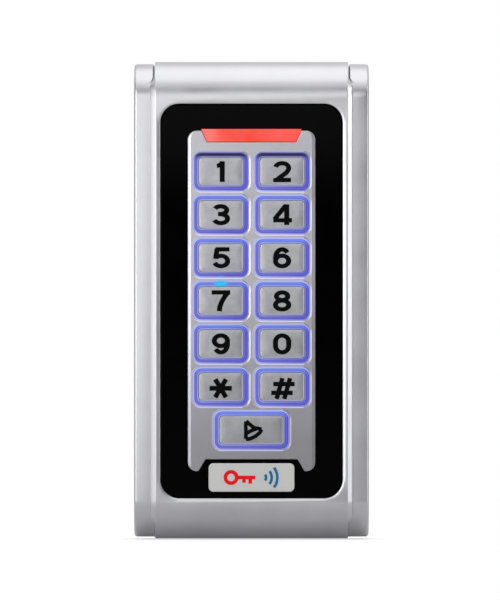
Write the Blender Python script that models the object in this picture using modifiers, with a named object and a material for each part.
"""Keypad access reader: a metal-cased wall keypad with thirteen sprung keys.

Frame: the origin is the middle of the face that sits on the wall, +Z is up, +X is to the right of a
person who faces the keypad, and the front faces -Y. A depth is measured from the wall towards that
person, so a depth d lies at y = -d. Lengths are in metres.
"""

from math import copysign, cos, pi, radians, sin

import bmesh
import bpy
from mathutils import Euler, Matrix, Vector

MM = 0.001
GAP = 0.3 * MM
ROUND_STEPS = 20
CORNER_STEPS = 3
WELD_DISTANCE = 1e-6
FLAT_ANGLE = 1e-4
PAST = 3 * MM

# Case: a centre block between two side cheeks that lie lower, both rolled back at top and bottom.
CASE_WIDTH = 72.6 * MM
CASE_HEIGHT = 148 * MM
CASE_BACK = 0.5 * MM
BLOCK_WIDTH = 62.6 * MM
BLOCK_FRONT = 24.2 * MM
BLOCK_EDGE = 1.6 * MM
BLOCK_WALL = 0.4
CHEEK_FRONT = 22.7 * MM
CHEEK_STEP = 0.8 * MM
CHEEK_EDGE = 1.2 * MM
ROLL_DEPTH = 16 * MM
TOP_ROLL = 8.6 * MM
BOTTOM_ROLL = 11.5 * MM
ROLL_STEPS = 9
EDGE_STEPS = 3

# Window in the front wall, and the hollows behind it.
WINDOW_WIDTH = 56.1 * MM
WINDOW_HEIGHT = 122 * MM
WINDOW_MIDDLE = -0.2 * MM
WINDOW_RADIUS = 5.9 * MM
WINDOW_FLARE = 0.6 * MM
PLATE_RECESS_DEPTH = 3.2 * MM
SEAT_WIDTH = 67.6 * MM
SEAT_TOP = 70.5 * MM
SEAT_BOTTOM = -67.6 * MM
SEAT_DEPTH = 7.1 * MM
CAVITY_WIDTH = 63 * MM
CAVITY_TOP = 68 * MM
CAVITY_BOTTOM = -65.3 * MM
CAVITY_FRONT = 20.6 * MM
RECESS_BOTTOM = -71.4 * MM
HOLLOW_RADIUS = 3 * MM
BOSS_RADIUS = 3.1 * MM
BOSS_FRONT = 17.3 * MM
BOSS_HOLE = 1.6 * MM
BOSS_BLIND_END = 2 * MM
CASE_SCREW_X = 27.5 * MM
CASE_SCREW_TOP = 65.2 * MM
CASE_SCREW_BOTTOM = -62.6 * MM

# Black panel: a face in the window, and a flange behind the front wall.
BEZEL_FRONT = 23.6 * MM
BEZEL_BACK = 18.2 * MM
FLANGE_FRONT = 19.4 * MM
FLANGE_WIDTH = 61.6 * MM
FLANGE_TOP = 64.4 * MM
FLANGE_BOTTOM = -64.8 * MM
POCKET_FLOOR = 22.9 * MM
SIDE_CLEARANCE = 0.25 * MM
OPENING_WIDTH = 37 * MM
OPENING_TOP = 46.9 * MM
OPENING_BOTTOM = -47.7 * MM

# Silver key plate.
PLATE_WIDTH = 39.4 * MM
PLATE_TOP = 52.4 * MM
PLATE_BOTTOM = -52.8 * MM
PLATE_RADIUS = 2.8 * MM
PLATE_BACK = 23.2 * MM
PLATE_FRONT = 24.4 * MM
NOTCH_TOP = -49.1 * MM
NOTCH_TOP_HALF = 14.2 * MM
NOTCH_BOTTOM_HALF = 16.1 * MM
LOBE_RADIUS = 0.6 * MM

# Red lens: a trapezoid in the plate's top edge.
LENS_TOP = 53.1 * MM
LENS_BOTTOM = 48.7 * MM
LENS_TOP_HALF = 15.5 * MM
LENS_BOTTOM_HALF = 13.75 * MM
LENS_FRONT = 24.7 * MM
LENS_STEM_HALF = 11 * MM
LENS_STEM_TOP = 51.9 * MM
LENS_STEM_BOTTOM = 49.6 * MM
LENS_STEM_BACK = 18 * MM
LENS_STEM_RADIUS = 0.4 * MM

# Keys: two columns of six and one wide key below them.
KEY_ROWS = 7
KEY_PITCH_X = 18.9 * MM
KEY_PITCH_Z = 13.3 * MM
KEY_TOP_ROW = 39.75 * MM
KEY_NAMES = ("key_1", "key_2", "key_3", "key_4", "key_5", "key_6", "key_7", "key_8", "key_9", "key_0",
             "key_star", "key_hash")
CAP_WIDTH = 13.8 * MM
CAP_HEIGHT = 8.8 * MM
BELL_EXTRA_WIDTH = 6.2 * MM
CAP_RADIUS = 1.25 * MM
CAP_FRONT = 25 * MM
CAP_EDGE = 0.4 * MM
RIM_OUTSIDE = 2.3 * MM
RIM_WALL = 0.8 * MM
RIM_RADIUS_EXTRA = 0.75 * MM
HOLE_RADIUS_EXTRA = 0.1 * MM
RIM_FRONT = 24.2 * MM
WINDOW_AROUND_KEY = 2.9 * MM
WINDOW_RADIUS_EXTRA = 1.05 * MM
KEY_FLANGE_EXTRA = 1.7 * MM
KEY_FLANGE_BACK = 20.2 * MM
KEY_FLANGE_FRONT = 21.1 * MM
PLUNGER_RADIUS = 2 * MM
PLUNGER_BACK = 19.6 * MM

# Badge in the plate's lower notch.
BADGE_WIDTH = 26.5 * MM
BADGE_HEIGHT = 8.8 * MM
BADGE_RADIUS = 1.5 * MM
BADGE_MIDDLE = -54.7 * MM
BADGE_EDGE = 0.2 * MM

# Light guide, key frame and silicone mat between panel and circuit board.
GUIDE_WIDTH = 36.4 * MM
GUIDE_TOP = 46.6 * MM
GUIDE_BOTTOM = -47.4 * MM
GUIDE_BACK = 21.4 * MM
GUIDE_FRONT = 22.9 * MM
FRAME_BACK = 16.6 * MM
FRAME_FRONT = 21.1 * MM
FRAME_FLANGE_WIDTH = 46 * MM
FRAME_FLANGE_TOP = 49 * MM
FRAME_FLANGE_BOTTOM = -50.5 * MM
FRAME_FLANGE_FRONT = 17.9 * MM
FRAME_WINDOW_EXTRA = 2.5 * MM
FRAME_RADIUS_EXTRA = 0.4 * MM
MAT_WIDTH = 35 * MM
MAT_TOP = 46.7 * MM
MAT_BOTTOM = -47.5 * MM
MAT_BACK = 15.3 * MM
MAT_FRONT = 16.3 * MM
DOME_BASE = 4.1 * MM
DOME_TOP = 2.2 * MM
DOME_FRONT = 19.3 * MM
DOME_SIDES = 12

# Circuit board and what is on it.
BOARD_WIDTH = 54 * MM
BOARD_TOP = 60.8 * MM
BOARD_BOTTOM = -58.8 * MM
BOARD_RADIUS = 1.5 * MM
BOARD_BACK = 13.4 * MM
BOARD_FRONT = 15 * MM
BOARD_SCREW_X = 20.5 * MM
BOARD_SCREW_ROWS = (45 * MM, -46 * MM)
BOARD_HOLE = 1.2 * MM
BLIND_HOLE_END = 20.6 * MM
POST_RADIUS = 2.2 * MM
COMPONENT_EDGE = 0.25 * MM
LED_SIZE = (2 * MM, 1.25 * MM, 0.8 * MM)
STATUS_LED_SIZE = (3.2 * MM, 2.8 * MM, 1.9 * MM)
STATUS_LED_Z = 51 * MM
STATUS_LED_PITCH = 8 * MM
BEHIND_BOARD = BOARD_BACK - GAP
MICRO_CHIP_PLACE = (-8 * MM, 4 * MM)
MICRO_CHIP_SIZE = (10 * MM, 10 * MM, 1.4 * MM)
READER_CHIP_PLACE = (10 * MM, 6 * MM)
READER_CHIP_SIZE = (6 * MM, 6 * MM, 1 * MM)
RELAY_PLACE = (11 * MM, -40 * MM)
RELAY_SIZE = (15 * MM, 9.5 * MM, 5.3 * MM)
BUZZER_PLACE = (-11 * MM, -40 * MM)
CAPACITOR_PLACE = (-15 * MM, 43 * MM)
COIL_WIDTH = 51 * MM
COIL_TOP = 58 * MM
COIL_BOTTOM = -56 * MM
COIL_WALL = 2.3 * MM
COIL_THICKNESS = 1.1 * MM
HEADER_WIDTH = 22 * MM
HEADER_BOTTOM = 35 * MM
HEADER_TOP = 41 * MM
HEADER_HEIGHT = 5.5 * MM
HEADER_WALL = 0.8 * MM

# Screws: a head is (depth of its seat, radius, height), and a shank is (radius, depth of its tip).
CASE_SCREW_HEAD = (3.2 * MM, 2.75 * MM, 1.5 * MM)
CASE_SCREW_SHANK = (1.25 * MM, 13 * MM)
BOARD_SCREW_HEAD = (BEHIND_BOARD, 2 * MM, 1.3 * MM)
BOARD_SCREW_SHANK = (0.9 * MM, 20.2 * MM)

# Back of the case: cover, seal, grommet, wall plate.
COVER_BACK = 3.5 * MM
COVER_FRONT = 5.5 * MM
COVER_TOP = SEAT_TOP - GAP
COVER_BOTTOM = SEAT_BOTTOM + GAP
COVER_SCREW_HOLE = 1.7 * MM
REAR_SEAL_WALL = 1.6 * MM
REAR_SEAL_CLEARANCE = 0.4 * MM
PANEL_SEAL_WALL = 1.8 * MM
PANEL_SEAL_CLEARANCE = 0.2 * MM
CABLE_Z = 24 * MM
GROMMET_HOLE = 5.2 * MM
GROMMET_LIP = 1.2 * MM
GROMMET_OVERLAP = 1.6 * MM
CABLE_BORE = 3 * MM
TAMPER_Z = -28 * MM
TAMPER_HOLE = 3.3 * MM
PLATE_THICKNESS = 1.2 * MM
WALL_PLATE_WIDTH = 66.6 * MM
WALL_PLATE_TOP = 69 * MM
WALL_PLATE_BOTTOM = -70.9 * MM
CABLE_HOLE_WIDTH = 26 * MM
CABLE_HOLE_HEIGHT = 18 * MM
WALL_SLOT_Z = 50 * MM
WALL_SLOT_RADIUS = 2.3 * MM
WALL_SLOT_LENGTH = 9 * MM
HOOK_X = 11 * MM
HOOK_WIDTH = 6 * MM
HOOK_BACK = 1.6 * MM
HOOK_FRONT = 2.9 * MM
TAB_WIDTH = 13 * MM
TAB_FRONT = 8.7 * MM
SECURITY_DEPTH = 5 * MM
SECURITY_THREAD = 1.75 * MM
SECURITY_HOLE = 1.8 * MM
SECURITY_HEAD = 2.6 * MM
SECURITY_HEAD_ROOM = 3 * MM
SECURITY_HEAD_DEPTH = 1.2 * MM


# ---------------------------------------------------------------- scene, materials

def clear_scene():
    for old in list(bpy.data.objects):
        bpy.data.objects.remove(old)


def new_collection(name):
    made = bpy.data.collections.new(name)
    bpy.context.scene.collection.children.link(made)
    return made


clear_scene()
PARTS = new_collection("keypad_access_reader")
CUTTERS = new_collection("cutters")


def material(name, colour, roughness, metallic=0.0, glow=0.0):
    made = bpy.data.materials.new(name)
    made.use_nodes = True
    shader = made.node_tree.nodes["Principled BSDF"]
    shader.inputs["Base Color"].default_value = (*colour, 1)
    shader.inputs["Roughness"].default_value = roughness
    shader.inputs["Metallic"].default_value = metallic
    shader.inputs["Emission Color"].default_value = (*colour, 1)
    shader.inputs["Emission Strength"].default_value = glow
    made.diffuse_color = (*colour, 1)
    return made


# ---------------------------------------------------------------- outlines, as lists of (x, z)

def arc(x, z, radius, start, end, steps):
    """Points on a round corner, from one angle to another in degrees."""
    angles = [radians(start + (end - start) * step / steps) for step in range(steps + 1)]
    return [(x + radius * cos(angle), z + radius * sin(angle)) for angle in angles]


def rounded_rectangle(width, height, radius, x=0.0, z=0.0, steps=CORNER_STEPS):
    """Anticlockwise outline with four round corners."""
    across = width / 2 - radius
    up = height / 2 - radius
    points = []
    for start, side, end in ((0, 1, 1), (90, -1, 1), (180, -1, -1), (270, 1, -1)):
        points += arc(x + side * across, z + end * up, radius, start, start + 90, steps)
    return points


def rounded_span(width, bottom, top, radius):
    """Rounded rectangle, centred across, between two heights."""
    return rounded_rectangle(width, top - bottom, radius, z=(top + bottom) / 2)


def circle(x, z, radius, steps=ROUND_STEPS):
    return arc(x, z, radius, 0, 360 - 360 / steps, steps - 1)


def mirrored(right_half):
    """Closes an outline: the points of the right half, and their mirror images back up the left."""
    return right_half + [(-x, z) for x, z in reversed(right_half)]


def plate_outline(grow=0.0):
    """The silver plate: round corners, the lens notch above and the badge notch below."""
    half = PLATE_WIDTH / 2 + grow
    radius = PLATE_RADIUS + grow
    top = PLATE_TOP + grow
    bottom = PLATE_BOTTOM - grow
    lobe = LOBE_RADIUS + grow
    right = [(NOTCH_TOP_HALF - grow, NOTCH_TOP - grow)]
    right += arc(NOTCH_BOTTOM_HALF - grow + lobe, bottom + lobe, lobe, 200, 270, CORNER_STEPS)
    right += arc(half - radius, bottom + radius, radius, 270, 360, CORNER_STEPS)
    right += arc(half - radius, top - radius, radius, 0, 90, CORNER_STEPS)
    return mirrored(right)


def lens_outline(grow=0.0, bottom=LENS_BOTTOM, top=LENS_TOP):
    """Trapezoid, wider at the top, whose sides keep their slope when it grows."""
    slope = (LENS_TOP_HALF - LENS_BOTTOM_HALF) / (LENS_TOP - LENS_BOTTOM)
    low = bottom - grow
    high = top + grow
    low_half = LENS_BOTTOM_HALF + (low - LENS_BOTTOM) * slope + grow
    high_half = LENS_BOTTOM_HALF + (high - LENS_BOTTOM) * slope + grow
    return mirrored([(low_half, low), (high_half, high)])


def roll(end, height):
    """Side view of one rolled end of the cheeks, from its outermost point round to the flat front.

    The end is 1 for the top and -1 for the bottom. Each station is (depth, z, outward depth, outward z,
    height of the block's step above the cheek).
    """
    stations = []
    for step in range(ROLL_STEPS + 1):
        turn = radians(90 * step / ROLL_STEPS)
        depth = CHEEK_FRONT - ROLL_DEPTH * (1 - sin(turn))
        z = CASE_HEIGHT / 2 - CHEEK_STEP - height * (1 - cos(turn))
        outward = Vector((sin(turn) / ROLL_DEPTH, cos(turn) / height)).normalized()
        rise = CHEEK_STEP + (BLOCK_FRONT - CHEEK_FRONT - CHEEK_STEP) * sin(turn)
        stations.append((depth, end * z, outward.x, end * outward.y, rise))
    return stations


def side_view():
    """Stations all along the case's side view, from its back at the top round the front to its back below."""
    top = roll(1, TOP_ROLL)
    bottom = roll(-1, BOTTOM_ROLL)
    high = (CASE_BACK, *top[0][1:])
    low = (CASE_BACK, *bottom[0][1:])
    return [high, *top, *reversed(bottom), low]


def cross_section():
    """Half of the case's section across, outermost first, as (x, drop below the cheek, share of the step).

    The cheek's outer edge is a quarter round. The block's edge is a short wall, then a flat slope.
    """
    angles = [radians(90 - 90 * step / EDGE_STEPS) for step in range(EDGE_STEPS + 1)]
    cheek = CASE_WIDTH / 2 - CHEEK_EDGE
    points = [(cheek + CHEEK_EDGE * sin(turn), CHEEK_EDGE * (1 - cos(turn)), 0.0) for turn in angles]
    half = BLOCK_WIDTH / 2
    wall = half - GAP / 2
    return points + [(half, 0.0, 0.0), (wall, 0.0, BLOCK_WALL), (half - BLOCK_EDGE, 0.0, 1.0)]


# ---------------------------------------------------------------- solids

def as_mesh(name, source, collection=PARTS):
    """Turns a curve, or an object with modifiers, into a mesh object whose points are in world space."""
    bpy.context.view_layer.update()
    graph = bpy.context.evaluated_depsgraph_get()
    mesh = bpy.data.meshes.new_from_object(source.evaluated_get(graph))
    mesh.transform(source.matrix_world)
    bpy.data.objects.remove(source)
    work = bmesh.new()
    work.from_mesh(mesh)
    bmesh.ops.remove_doubles(work, verts=work.verts, dist=WELD_DISTANCE)
    bmesh.ops.recalc_face_normals(work, faces=work.faces)
    work.to_mesh(mesh)
    work.free()
    mesh.name = name
    made = bpy.data.objects.new(name, mesh)
    collection.objects.link(made)
    if collection is CUTTERS:
        made.hide_render = True
        made.display_type = "WIRE"
    return made


def flat_curve(name, outlines, thickness):
    """A filled 2D curve of closed outlines, the ones inside another being holes."""
    curve = bpy.data.curves.new(name, "CURVE")
    curve.dimensions = "2D"
    curve.fill_mode = "BOTH"
    curve.extrude = thickness / 2
    for outline in outlines:
        spline = curve.splines.new("POLY")
        spline.points.add(len(outline) - 1)
        for point, (across, up) in zip(spline.points, outline):
            point.co = (across, up, 0, 1)
        spline.use_cyclic_u = True
    made = bpy.data.objects.new(name, curve)
    PARTS.objects.link(made)
    return made


def slab(name, outlines, back, front, collection=PARTS):
    """Prism between two depths, from one outline with any holes in it."""
    made = flat_curve(name, outlines, front - back)
    made.rotation_euler = (pi / 2, 0, 0)
    made.location = (0, -(front + back) / 2, 0)
    return as_mesh(name, made, collection)


def crosswise(name, outline, width, x=0.0, collection=PARTS):
    """Prism across the case from a side view given as (depth, z)."""
    made = flat_curve(name, [outline], width)
    made.location.x = x
    turn = Matrix(((0, 0, -1), (-1, 0, 0), (0, 1, 0)))
    made.rotation_euler = turn.to_euler()
    return as_mesh(name, made, collection)


def turned(name, profile, x, z, depth=0.0, axis_turn=(pi / 2, 0, 0), collection=PARTS):
    """Solid of revolution from a (radius, height) profile that runs from the axis's front to its back."""
    mesh = bpy.data.meshes.new(name)
    points = [(radius, 0, height) for radius, height in profile]
    mesh.from_pydata(points, [(n, n + 1) for n in range(len(points) - 1)], [])
    made = bpy.data.objects.new(name, mesh)
    PARTS.objects.link(made)
    made.location = (x, -depth, z)
    made.rotation_euler = axis_turn
    screw = made.modifiers.new("turn", "SCREW")
    screw.axis = "Z"
    screw.steps = ROUND_STEPS
    screw.render_steps = ROUND_STEPS
    screw.use_merge_vertices = True
    screw.merge_threshold = WELD_DISTANCE
    return as_mesh(name, made, collection)


def rods(name, places, radius, back, front, collection=CUTTERS, tip_radius=None, sides=ROUND_STEPS):
    """Round rods, or cones, that lie along the depth: one mesh for all the places."""
    work = bmesh.new()
    for x, z in places:
        middle = Vector((x, -(front + back) / 2, z))
        bmesh.ops.create_cone(
            work,
            cap_ends=True,
            segments=sides,
            radius1=radius,
            radius2=radius if tip_radius is None else tip_radius,
            depth=front - back,
            matrix=Matrix.Translation(middle) @ Euler((pi / 2, 0, 0)).to_matrix().to_4x4(),
        )
    return from_work(name, work, collection)


def block(name, low, high, collection=PARTS):
    """Box between two (x, depth, z) corners."""
    middle = [(a + b) / 2 for a, b in zip(low, high)]
    size = [abs(b - a) for a, b in zip(low, high)]
    work = bmesh.new()
    move = Matrix.Translation((middle[0], -middle[1], middle[2]))
    bmesh.ops.create_cube(work, size=1, matrix=move @ Matrix.Diagonal((*size, 1)))
    return from_work(name, work, collection)


def from_work(name, work, collection):
    mesh = bpy.data.meshes.new(name)
    bmesh.ops.recalc_face_normals(work, faces=work.faces)
    work.to_mesh(mesh)
    work.free()
    made = bpy.data.objects.new(name, mesh)
    collection.objects.link(made)
    if collection is CUTTERS:
        made.hide_render = True
        made.display_type = "WIRE"
    return made


def combine(target, other, operation):
    """Boolean of two solids, applied, with the second one removed."""
    name = target.name
    step = target.modifiers.new(operation.lower(), "BOOLEAN")
    step.operation = operation
    step.solver = "EXACT"
    step.object = other
    made = as_mesh(name + "_made", target)
    made.name = name
    bpy.data.objects.remove(other)
    return made


def cut(target, *cutters):
    for cutter in cutters:
        target = combine(target, cutter, "DIFFERENCE")
    return target


def join(target, *others):
    for other in others:
        target = combine(target, other, "UNION")
    return target


def bevel_front(target, depth, width, steps=2):
    """Rounds the edges that lie in the plane at this depth."""
    work = bmesh.new()
    work.from_mesh(target.data)
    square = radians(60)
    edges = [
        edge
        for edge in work.edges
        if all(abs(v.co.y + depth) < WELD_DISTANCE for v in edge.verts) and edge.calc_face_angle(0) > square
    ]
    bmesh.ops.bevel(work, geom=edges, offset=width, segments=steps, profile=0.5, affect="EDGES")
    work.to_mesh(target.data)
    work.free()
    return target


def finish(target, surface, smooth_angle=35):
    target.data.materials.clear()
    target.data.materials.append(surface)
    target.data.shade_smooth()
    target.data.set_sharp_from_angle(angle=radians(smooth_angle))
    return target


# ---------------------------------------------------------------- case

def case_screw_places():
    return [(side * CASE_SCREW_X, z) for z in (CASE_SCREW_TOP, CASE_SCREW_BOTTOM) for side in (-1, 1)]


def case_shell():
    """Solid of the case's outside: its section across, carried round its side view."""
    right = cross_section()
    section = right + [(-x, drop, share) for x, drop, share in reversed(right)]
    work = bmesh.new()
    rows = []
    for depth, z, out_depth, out_z, rise in side_view():
        row = []
        for x, drop, share in section:
            out = rise * share - drop
            row.append(work.verts.new((x, -(depth + out * out_depth), z + out * out_z)))
        rows.append(row)
    for above, below in zip(rows, rows[1:]):
        for column in range(len(section) - 1):
            work.faces.new((above[column], above[column + 1], below[column + 1], below[column]))
    work.faces.new([row[0] for row in rows])
    work.faces.new([row[-1] for row in reversed(rows)])
    work.faces.new([*reversed(rows[0]), *rows[-1]])
    bmesh.ops.recalc_face_normals(work, faces=work.faces)
    bmesh.ops.connect_verts_nonplanar(work, angle_limit=FLAT_ANGLE, faces=work.faces)
    return from_work("front_housing", work, PARTS)


def window_cutter():
    """The window's prism, with its front end flared for the bright edge round the panel."""
    outline = rounded_rectangle(WINDOW_WIDTH, WINDOW_HEIGHT, WINDOW_RADIUS, z=WINDOW_MIDDLE)
    hole = slab("window", [outline], CAVITY_FRONT - PAST, BLOCK_FRONT + PAST, CUTTERS)
    flare = slab("flare", [outline], BLOCK_FRONT - WINDOW_FLARE, BLOCK_FRONT + WINDOW_FLARE, CUTTERS)
    for point in flare.data.vertices:
        if point.co.y < -BLOCK_FRONT:
            corner_x = copysign(WINDOW_WIDTH / 2 - WINDOW_RADIUS, point.co.x)
            corner_z = WINDOW_MIDDLE + copysign(WINDOW_HEIGHT / 2 - WINDOW_RADIUS, point.co.z - WINDOW_MIDDLE)
            outward = Vector((point.co.x - corner_x, 0, point.co.z - corner_z))
            point.co += outward.normalized() * 2 * WINDOW_FLARE
    return [hole, flare]


def case_hollows():
    """Recess for the wall plate and its tab, seat for the rear cover, and the main cavity."""
    recess = rounded_span(SEAT_WIDTH, RECESS_BOTTOM, SEAT_TOP, HOLLOW_RADIUS)
    seat = rounded_span(SEAT_WIDTH, SEAT_BOTTOM, SEAT_TOP, HOLLOW_RADIUS)
    cavity = rounded_span(CAVITY_WIDTH, CAVITY_BOTTOM, CAVITY_TOP, HOLLOW_RADIUS)
    pocket_low = RECESS_BOTTOM - 2 * GAP
    pocket_high = WALL_PLATE_BOTTOM + GAP + PLATE_THICKNESS + GAP
    pocket_half = TAB_WIDTH / 2 + MM
    pocket_start = (-pocket_half, -PAST, pocket_low)
    pocket_end = (pocket_half, TAB_FRONT + MM, pocket_high)
    return [
        slab("plate_recess", [recess], -PAST, PLATE_RECESS_DEPTH, CUTTERS),
        slab("cover_seat", [seat], 0, SEAT_DEPTH, CUTTERS),
        slab("cavity", [cavity], MM, CAVITY_FRONT, CUTTERS),
        block("tab_pocket", pocket_start, pocket_end, CUTTERS),
    ]


def hook_slots():
    """Slots in the recess's top wall that the wall plate's hooks go up into."""
    half = HOOK_WIDTH / 2 + GAP
    low = SEAT_TOP - MM
    high = SEAT_TOP + MM + GAP
    return [
        block("hook_slot", (x - half, PLATE_THICKNESS, low), (x + half, PLATE_RECESS_DEPTH, high), CUTTERS)
        for x in (-HOOK_X, HOOK_X)
    ]


def front_housing(surface):
    """Die-cast shell: flat front with a window, open back, bosses for the case screws."""
    shell = cut(case_shell(), *case_hollows())
    bosses = rods("bosses", case_screw_places(), BOSS_RADIUS, SEAT_DEPTH, BOSS_FRONT, sides=DOME_SIDES)
    shell = join(shell, bosses)
    blind_end = BOSS_FRONT - BOSS_BLIND_END
    holes = rods("screw_holes", case_screw_places(), BOSS_HOLE, 0, blind_end, sides=DOME_SIDES)
    shell = cut(shell, holes, *window_cutter(), *hook_slots(), *security_holes())
    return finish(shell, surface)


def security_holes():
    """Through hole in the bottom wall, with a wider recess that hides the screw's head."""
    bottom = -CASE_HEIGHT / 2
    upright = (0, 0, 0)
    head_floor = SECURITY_HEAD_DEPTH
    shank = [(0, PAST), (SECURITY_HOLE, PAST), (SECURITY_HOLE, -PAST), (0, -PAST)]
    head = [(0, head_floor), (SECURITY_HEAD_ROOM, head_floor), (SECURITY_HEAD_ROOM, -PAST), (0, -PAST)]
    return [
        turned(name, profile, 0, bottom, SECURITY_DEPTH, upright, CUTTERS)
        for name, profile in (("security_shank", shank), ("security_head", head))
    ]


# ---------------------------------------------------------------- keypad

def key_layout():
    """Each key as (name, x, z, extra width)."""
    layout = []
    for number, name in enumerate(KEY_NAMES):
        side = -1 if number % 2 == 0 else 1
        layout.append((name, side * KEY_PITCH_X / 2, KEY_TOP_ROW - (number // 2) * KEY_PITCH_Z, 0.0))
    layout.append(("key_bell", 0.0, KEY_TOP_ROW - (KEY_ROWS - 1) * KEY_PITCH_Z, BELL_EXTRA_WIDTH))
    return layout


def around_keys(extra, radius_extra, steps=CORNER_STEPS):
    """One outline round each key's cap, larger than the cap by extra in each direction."""
    height = CAP_HEIGHT + extra
    radius = CAP_RADIUS + radius_extra
    return [
        rounded_rectangle(CAP_WIDTH + wide + extra, height, radius, x, z, steps)
        for _, x, z, wide in key_layout()
    ]


def keypad_plate(surface):
    windows = around_keys(WINDOW_AROUND_KEY, WINDOW_RADIUS_EXTRA)
    plate = slab("keypad_plate", [plate_outline(), *windows], PLATE_BACK, PLATE_FRONT)
    room = lens_outline(GAP, top=LENS_TOP + PAST)
    notch = slab("lens_notch", [room], PLATE_BACK - PAST, PLATE_FRONT + PAST, CUTTERS)
    return finish(cut(plate, notch), surface)


def black_bezel(surface):
    """Glossy panel with sunk pockets for the plate and the lens, and a flange behind the case's wall."""
    window = rounded_rectangle(
        WINDOW_WIDTH - 2 * SIDE_CLEARANCE,
        WINDOW_HEIGHT - 2 * SIDE_CLEARANCE,
        WINDOW_RADIUS - SIDE_CLEARANCE,
        z=WINDOW_MIDDLE,
    )
    panel = slab("black_bezel", [window], BEZEL_BACK + GAP, BEZEL_FRONT)
    panel = bevel_front(panel, BEZEL_FRONT, CAP_EDGE)
    flange = rounded_span(FLANGE_WIDTH, FLANGE_BOTTOM, FLANGE_TOP, HOLLOW_RADIUS)
    panel = join(panel, slab("flange", [flange], BEZEL_BACK, FLANGE_FRONT))
    front = BEZEL_FRONT + PAST
    opening = rounded_span(OPENING_WIDTH, OPENING_BOTTOM, OPENING_TOP, MM)
    stem_width = 2 * (LENS_STEM_HALF + GAP)
    stem = rounded_span(stem_width, LENS_STEM_BOTTOM - GAP, LENS_STEM_TOP + GAP, LENS_STEM_RADIUS)
    return finish(
        cut(
            panel,
            slab("plate_pocket", [plate_outline(SIDE_CLEARANCE)], POCKET_FLOOR, front, CUTTERS),
            slab("lens_pocket", [lens_outline(SIDE_CLEARANCE)], POCKET_FLOOR, front, CUTTERS),
            slab("keys_opening", [opening], 0, front, CUTTERS),
            slab("stem_slot", [stem], 0, front, CUTTERS),
            rods("blind_holes", board_screw_places(), BOARD_HOLE, 0, BLIND_HOLE_END, sides=DOME_SIDES),
        ),
        surface,
    )


def status_lens(surface):
    """Trapezoid face with a stem that takes the light from the LEDs."""
    face = slab("status_lens", [lens_outline()], PLATE_BACK, LENS_FRONT)
    face = bevel_front(face, LENS_FRONT, CAP_EDGE)
    outline = rounded_span(2 * LENS_STEM_HALF, LENS_STEM_BOTTOM, LENS_STEM_TOP, LENS_STEM_RADIUS)
    stem = slab("stem", [outline], LENS_STEM_BACK, PLATE_FRONT - GAP)
    return finish(join(face, stem), surface)


def light_guide(surface):
    """Clear slab behind the plate; a raised rim comes forward round each key."""
    base = rounded_span(GUIDE_WIDTH, GUIDE_BOTTOM, GUIDE_TOP, MM)
    guide = slab("light_guide", [base], GUIDE_BACK, GUIDE_FRONT)
    rims = slab("rims", around_keys(RIM_OUTSIDE, RIM_RADIUS_EXTRA), GUIDE_BACK + GAP, RIM_FRONT)
    guide = join(guide, rims)
    inside = around_keys(RIM_OUTSIDE - 2 * RIM_WALL, HOLE_RADIUS_EXTRA)
    holes = slab("key_holes", inside, GUIDE_BACK - PAST, RIM_FRONT + PAST, CUTTERS)
    return finish(cut(guide, holes), surface)


def key_cap(name, x, z, wide, surface):
    """Cap with a rounded front edge, a wider flange that stops it, and a plunger on the dome."""
    cap_outline = rounded_rectangle(CAP_WIDTH + wide, CAP_HEIGHT, CAP_RADIUS, x, z)
    flange_outline = rounded_rectangle(
        CAP_WIDTH + wide + KEY_FLANGE_EXTRA, CAP_HEIGHT + KEY_FLANGE_EXTRA, CAP_RADIUS, x, z
    )
    cap = slab(name, [cap_outline], KEY_FLANGE_BACK + GAP, CAP_FRONT)
    cap = bevel_front(cap, CAP_FRONT, CAP_EDGE)
    flange = slab("flange", [flange_outline], KEY_FLANGE_BACK, KEY_FLANGE_FRONT)
    sunk = KEY_FLANGE_FRONT - GAP
    plunger = rods("plunger", [(x, z)], PLUNGER_RADIUS, PLUNGER_BACK, sunk, sides=DOME_SIDES)
    cap = join(cap, flange, plunger)
    centre = Vector((x, -CAP_FRONT, z))
    cap.data.transform(Matrix.Translation(-centre))
    cap.location = centre
    return finish(cap, surface)


def keys(surface):
    return [key_cap(name, x, z, wide, surface) for name, x, z, wide in key_layout()]


def key_frame(surface):
    """White frame in the panel's opening, whose windows guide the key flanges."""
    outline = rounded_span(GUIDE_WIDTH, GUIDE_BOTTOM, GUIDE_TOP, MM)
    frame = slab("key_frame", [outline], FRAME_BACK, FRAME_FRONT)
    flange = rounded_span(FRAME_FLANGE_WIDTH, FRAME_FLANGE_BOTTOM, FRAME_FLANGE_TOP, HOLLOW_RADIUS)
    post_front = FRAME_FLANGE_FRONT - GAP
    posts = rods("posts", board_screw_places(), POST_RADIUS, BOARD_FRONT + GAP, post_front, sides=DOME_SIDES)
    frame = join(frame, slab("flange", [flange], FRAME_BACK - GAP / 2, FRAME_FLANGE_FRONT), posts)
    room = around_keys(FRAME_WINDOW_EXTRA, FRAME_RADIUS_EXTRA, 2)
    windows = slab("key_windows", room, 0, FRAME_FRONT + PAST, CUTTERS)
    holes = rods("screw_holes", board_screw_places(), BOARD_HOLE, 0, BEZEL_FRONT, sides=DOME_SIDES)
    return finish(cut(frame, windows, holes), surface)


def led_places():
    """Between one row of keys and the next, in the middle."""
    return [(0.0, KEY_TOP_ROW - (row + 0.5) * KEY_PITCH_Z) for row in range(KEY_ROWS - 1)]


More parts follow.
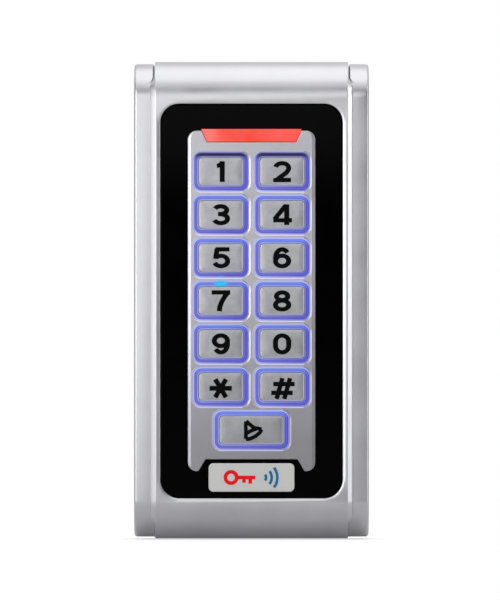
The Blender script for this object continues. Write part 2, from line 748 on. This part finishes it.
def key_mat(surface):
    """Silicone sheet with a dome under each key and a hole over each backlight LED."""
    outline = rounded_span(MAT_WIDTH, MAT_BOTTOM, MAT_TOP, MM)
    width, height, _ = LED_SIZE
    holes = [rounded_rectangle(width + MM, height + MM, 2 * COMPONENT_EDGE, x, z) for x, z in led_places()]
    mat = slab("key_mat", [outline, *holes], MAT_BACK, MAT_FRONT)
    places = [(x, z) for _, x, z, _ in key_layout()]
    sunk = MAT_BACK + GAP
    domes = rods("domes", places, DOME_BASE, sunk, DOME_FRONT, tip_radius=DOME_TOP, sides=DOME_SIDES)
    return finish(join(mat, domes), surface)


def nameplate(surface):
    """Blank badge, just clear of the panel behind it."""
    outline = rounded_rectangle(BADGE_WIDTH, BADGE_HEIGHT, BADGE_RADIUS, z=BADGE_MIDDLE)
    badge = slab("nameplate", [outline], BEZEL_FRONT + GAP, PLATE_FRONT + GAP)
    return finish(bevel_front(badge, PLATE_FRONT + GAP, BADGE_EDGE, 1), surface)


# ---------------------------------------------------------------- electronics

def board_screw_places():
    return [(side * BOARD_SCREW_X, z) for z in BOARD_SCREW_ROWS for side in (-1, 1)]


def main_board(surface):
    holes = [circle(x, z, BOARD_HOLE, DOME_SIDES) for x, z in board_screw_places()]
    outline = rounded_span(BOARD_WIDTH, BOARD_BOTTOM, BOARD_TOP, BOARD_RADIUS)
    return finish(slab("main_board", [outline, *holes], BOARD_BACK, BOARD_FRONT), surface)


def board_component(name, place, size, surface):
    """Moulded body on the back of the board, with its outer edges broken."""
    width, height, thickness = size
    outline = rounded_rectangle(width, height, COMPONENT_EDGE, *place, 1)
    body = slab(name, [outline], BEHIND_BOARD - thickness, BEHIND_BOARD)
    return finish(bevel_front(body, BEHIND_BOARD - thickness, COMPONENT_EDGE, 1), surface)


def front_led(name, place, size, surface):
    width, height, thickness = size
    outline = rounded_rectangle(width, height, COMPONENT_EDGE, *place, 1)
    return finish(slab(name, [outline], BOARD_FRONT + GAP, BOARD_FRONT + GAP + thickness), surface)


def leds(white, blue):
    """Three white ones behind the lens's stem, and a blue one between each two rows of keys."""
    for number in range(3):
        place = ((number - 1) * STATUS_LED_PITCH, STATUS_LED_Z)
        front_led(f"status_led_{number + 1}", place, STATUS_LED_SIZE, white)
    for number, place in enumerate(led_places()):
        front_led(f"backlight_led_{number + 1}", place, LED_SIZE, blue)


def antenna_coil(surface):
    """Flat wound ring on the back of the board, just inside its edge."""
    outer = rounded_span(COIL_WIDTH, COIL_BOTTOM, COIL_TOP, HOLLOW_RADIUS + MM)
    inside = COIL_WIDTH - 2 * COIL_WALL
    inner = rounded_span(inside, COIL_BOTTOM + COIL_WALL, COIL_TOP - COIL_WALL, HOLLOW_RADIUS)
    return finish(slab("antenna_coil", [outer, inner], BEHIND_BOARD - COIL_THICKNESS, BEHIND_BOARD), surface)


def buzzer(surface):
    """Round sounder with a small sound hole sunk in its back."""
    tall = 5.5 * MM
    radius = 6 * MM
    hole = 1.2 * MM
    edge = 0.4 * MM
    profile = [(0, 0), (radius, 0), (radius, -tall + edge), (radius - edge, -tall), (hole, -tall),
               (hole, -tall + MM), (0, -tall + MM)]
    return finish(turned("buzzer", profile, *BUZZER_PLACE, BEHIND_BOARD), surface)


def capacitor(surface):
    """Metal can with a rolled groove near the board."""
    tall = 5.4 * MM
    radius = 3.15 * MM
    groove = -1.3 * MM
    profile = [(0, 0), (radius, 0), (radius, groove + GAP), (radius - GAP, groove), (radius, groove - GAP),
               (radius, -tall), (0, -tall)]
    return finish(turned("capacitor", profile, *CAPACITOR_PLACE, BEHIND_BOARD), surface)


def tamper_sensor(surface):
    """Light sensor that sees the wall through the rear cover's window."""
    tall = 3 * MM
    radius = 2.5 * MM
    edge = 0.4 * MM
    profile = [(0, 0), (radius, 0), (radius, -tall + edge), (radius - edge, -tall), (0, -tall)]
    return finish(turned("tamper_sensor", profile, 0, TAMPER_Z, BEHIND_BOARD), surface)


def tamper_window(surface):
    """Clear plug in the rear cover, with a lip on the inside."""
    lip = TAMPER_HOLE + MM
    neck = TAMPER_HOLE - GAP
    inside = COVER_FRONT + GAP
    profile = [
        (0, inside + MM),
        (lip, inside + MM),
        (lip, inside),
        (neck, inside),
        (neck, COVER_BACK),
        (0, COVER_BACK),
    ]
    return finish(turned("tamper_window", profile, 0, TAMPER_Z), surface)


def wire_header(surface):
    """Ten-way shrouded header that the cable's plug goes into, open at the back."""
    half = HEADER_WIDTH / 2
    back = BEHIND_BOARD - HEADER_HEIGHT
    body = block("wire_header", (-half, back, HEADER_BOTTOM), (half, BEHIND_BOARD, HEADER_TOP))
    inside = half - HEADER_WALL
    low = HEADER_BOTTOM + HEADER_WALL
    high = HEADER_TOP - HEADER_WALL
    floor = BEHIND_BOARD - 2 * HEADER_WALL
    hollow = block("hollow", (-inside, back - MM, low), (inside, floor, high), CUTTERS)
    return finish(cut(body, hollow), surface)


# ---------------------------------------------------------------- back of the case

def screw(name, place, head, shank, surface):
    """Pan-head screw whose head faces the wall, with a hexagon socket.

    The head is (its seat's depth, radius, height), and the shank is (radius, depth of its tip).
    """
    seat, head_radius, head_height = head
    shank_radius, tip = shank
    back = seat - head_height
    edge = 0.4 * MM
    profile = [
        (0, tip),
        (shank_radius - edge, tip),
        (shank_radius, tip - edge),
        (shank_radius, seat),
        (head_radius, seat),
        (head_radius, back + edge),
        (head_radius - edge, back),
        (0, back),
    ]
    body = turned(name, profile, *place)
    socket = rods("socket", [place], head_radius / 2, back - MM, back + head_height / 2, sides=6)
    return finish(cut(body, socket), surface)


def case_screws(surface):
    for number, place in enumerate(case_screw_places()):
        screw(f"case_screw_{number + 1}", place, CASE_SCREW_HEAD, CASE_SCREW_SHANK, surface)


def board_screws(surface):
    for number, place in enumerate(board_screw_places()):
        screw(f"board_screw_{number + 1}", place, BOARD_SCREW_HEAD, BOARD_SCREW_SHANK, surface)


def ring(name, width, bottom, top, wall, back, front, surface):
    """Flat rectangular seal."""
    outer = rounded_span(width, bottom, top, HOLLOW_RADIUS - GAP)
    inner = rounded_span(width - 2 * wall, bottom + wall, top - wall, HOLLOW_RADIUS - GAP - wall)
    return finish(slab(name, [outer, inner], back, front), surface)


def rear_gasket(surface):
    return ring(
        "rear_gasket",
        SEAT_WIDTH - 2 * REAR_SEAL_CLEARANCE,
        SEAT_BOTTOM + REAR_SEAL_CLEARANCE,
        SEAT_TOP - REAR_SEAL_CLEARANCE,
        REAR_SEAL_WALL,
        COVER_FRONT + GAP,
        SEAT_DEPTH - GAP,
        surface,
    )


def bezel_seal(surface):
    return ring(
        "bezel_seal",
        FLANGE_WIDTH - 2 * PANEL_SEAL_CLEARANCE,
        FLANGE_BOTTOM + PANEL_SEAL_CLEARANCE,
        FLANGE_TOP - PANEL_SEAL_CLEARANCE,
        PANEL_SEAL_WALL,
        FLANGE_FRONT + GAP,
        CAVITY_FRONT - GAP,
        surface,
    )


def rear_cover(surface):
    """Flat cover in the case's back, with holes for the screws, the grommet and the tamper window."""
    outline = rounded_span(SEAT_WIDTH - 2 * GAP, COVER_BOTTOM, COVER_TOP, HOLLOW_RADIUS - GAP)
    holes = [circle(x, z, COVER_SCREW_HOLE, DOME_SIDES) for x, z in case_screw_places()]
    holes.append(circle(0, CABLE_Z, GROMMET_HOLE))
    holes.append(circle(0, TAMPER_Z, TAMPER_HOLE))
    return finish(slab("rear_cover", [outline, *holes], COVER_BACK, COVER_FRONT), surface)


def cable_grommet(surface):
    """Rubber bush in the cover, with a lip on each side and the cable's bore through it."""
    neck = GROMMET_HOLE - GAP
    lip = GROMMET_HOLE + GROMMET_OVERLAP
    front = COVER_FRONT + GAP
    back = COVER_BACK - GAP
    edge = 0.4 * MM
    top = front + GROMMET_LIP
    foot = back - GROMMET_LIP
    profile = [
        (CABLE_BORE, top),
        (lip - edge, top),
        (lip, top - edge),
        (lip, front),
        (neck, front),
        (neck, back),
        (lip, back),
        (lip, foot + edge),
        (lip - edge, foot),
        (CABLE_BORE, foot),
        (CABLE_BORE, top),
    ]
    return finish(turned("cable_grommet", profile, 0, CABLE_Z), surface)


def wall_slot(z):
    """Long hole across, for a wall screw."""
    straight = WALL_SLOT_LENGTH / 2 - WALL_SLOT_RADIUS
    right = arc(straight, z, WALL_SLOT_RADIUS, -90, 90, 2 * CORNER_STEPS)
    left = arc(-straight, z, WALL_SLOT_RADIUS, 90, 270, 2 * CORNER_STEPS)
    return right + left


def mounting_plate(surface):
    """Bent steel sheet: slots for two wall screws, two hooks above, a tab below for the security screw."""
    outline = rounded_span(WALL_PLATE_WIDTH, WALL_PLATE_BOTTOM, WALL_PLATE_TOP, HOLLOW_RADIUS)
    cable_hole = rounded_rectangle(CABLE_HOLE_WIDTH, CABLE_HOLE_HEIGHT, HOLLOW_RADIUS, z=CABLE_Z)
    holes = [cable_hole, wall_slot(WALL_SLOT_Z), wall_slot(-WALL_SLOT_Z)]
    plate = slab("mounting_plate", [outline, *holes], 0, PLATE_THICKNESS)
    sunk = PLATE_THICKNESS / 2
    foot = WALL_PLATE_TOP - 2 * PLATE_THICKNESS
    bend = foot + PLATE_THICKNESS
    tip = SEAT_TOP + MM
    hook = [(sunk, foot), (HOOK_FRONT, foot), (HOOK_FRONT, tip)]
    hook += [(HOOK_BACK, tip), (HOOK_BACK, bend), (sunk, bend)]
    for x in (-HOOK_X, HOOK_X):
        plate = join(plate, crosswise("hook", hook, HOOK_WIDTH, x))
    half = TAB_WIDTH / 2
    low = WALL_PLATE_BOTTOM + GAP
    plate = join(plate, block("tab", (-half, sunk, low), (half, TAB_FRONT, low + PLATE_THICKNESS)))
    thread = [(0, PAST), (SECURITY_THREAD, PAST), (SECURITY_THREAD, -PAST), (0, -PAST)]
    hole = turned("thread", thread, 0, WALL_PLATE_BOTTOM, SECURITY_DEPTH, (0, 0, 0), CUTTERS)
    return finish(cut(plate, hole), surface)


def security_screw(surface):
    """Upright flat-headed screw through the case's bottom wall into the wall plate's tab."""
    face = 0.2 * MM
    tip = 4.5 * MM
    shank = 1.35 * MM
    edge = 0.3 * MM
    profile = [(0, tip), (shank - edge, tip), (shank, tip - edge), (shank, MM), (SECURITY_HEAD, MM),
               (SECURITY_HEAD, face), (0, face)]
    bottom = -CASE_HEIGHT / 2
    upright = (0, 0, 0)
    body = turned("security_screw", profile, 0, bottom, SECURITY_DEPTH, upright)
    socket_radius = 1.1 * MM
    socket_floor = 0.7 * MM
    socket = [(0, socket_floor), (socket_radius, socket_floor), (socket_radius, -MM), (0, -MM)]
    return finish(cut(body, turned("socket", socket, 0, bottom, SECURITY_DEPTH, upright, CUTTERS)), surface)


# ---------------------------------------------------------------- assembly

def build():
    zinc = material("satin_zinc", (0.66, 0.66, 0.68), 0.32, 1.0)
    silver = material("silver_plate", (0.52, 0.52, 0.55), 0.35, 1.0)
    cap_metal = material("key_cap", (0.45, 0.46, 0.5), 0.38, 0.9)
    black_gloss = material("black_gloss", (0.005, 0.005, 0.006), 0.08)
    red = material("red_lens", (1.0, 0.09, 0.07), 0.25, 0.0, 0.6)
    violet = material("lit_guide", (0.17, 0.2, 0.85), 0.3, 0.0, 0.8)
    pale = material("badge", (0.6, 0.6, 0.58), 0.4)
    white = material("white_plastic", (0.8, 0.8, 0.78), 0.5)
    silicone = material("silicone", (0.55, 0.57, 0.6), 0.6)
    rubber = material("seal_rubber", (0.02, 0.02, 0.02), 0.7)
    board_green = material("board", (0.015, 0.12, 0.05), 0.4)
    chip_black = material("chip", (0.02, 0.02, 0.022), 0.5)
    copper = material("copper", (0.72, 0.32, 0.14), 0.3, 1.0)
    relay_body = material("relay_body", (0.05, 0.14, 0.4), 0.4)
    tin = material("tin", (0.6, 0.6, 0.6), 0.3, 1.0)
    dark_plastic = material("dark_plastic", (0.03, 0.03, 0.033), 0.55)
    steel = material("steel", (0.55, 0.56, 0.57), 0.3, 1.0)
    clear = material("clear", (0.7, 0.75, 0.8), 0.1)
    blue_led = material("blue_led", (0.2, 0.3, 0.9), 0.3)

    front_housing(zinc)
    black_bezel(black_gloss)
    keypad_plate(silver)
    status_lens(red)
    light_guide(violet)
    keys(cap_metal)
    nameplate(pale)
    key_frame(white)
    key_mat(silicone)
    bezel_seal(rubber)

    main_board(board_green)
    board_component("micro_chip", MICRO_CHIP_PLACE, MICRO_CHIP_SIZE, chip_black)
    board_component("reader_chip", READER_CHIP_PLACE, READER_CHIP_SIZE, chip_black)
    board_component("relay", RELAY_PLACE, RELAY_SIZE, relay_body)
    buzzer(dark_plastic)
    capacitor(tin)
    wire_header(white)
    antenna_coil(copper)
    leds(white, blue_led)
    tamper_sensor(clear)
    board_screws(steel)

    rear_cover(dark_plastic)
    rear_gasket(rubber)
    tamper_window(clear)
    cable_grommet(rubber)
    case_screws(steel)
    mounting_plate(steel)
    security_screw(steel)


build()
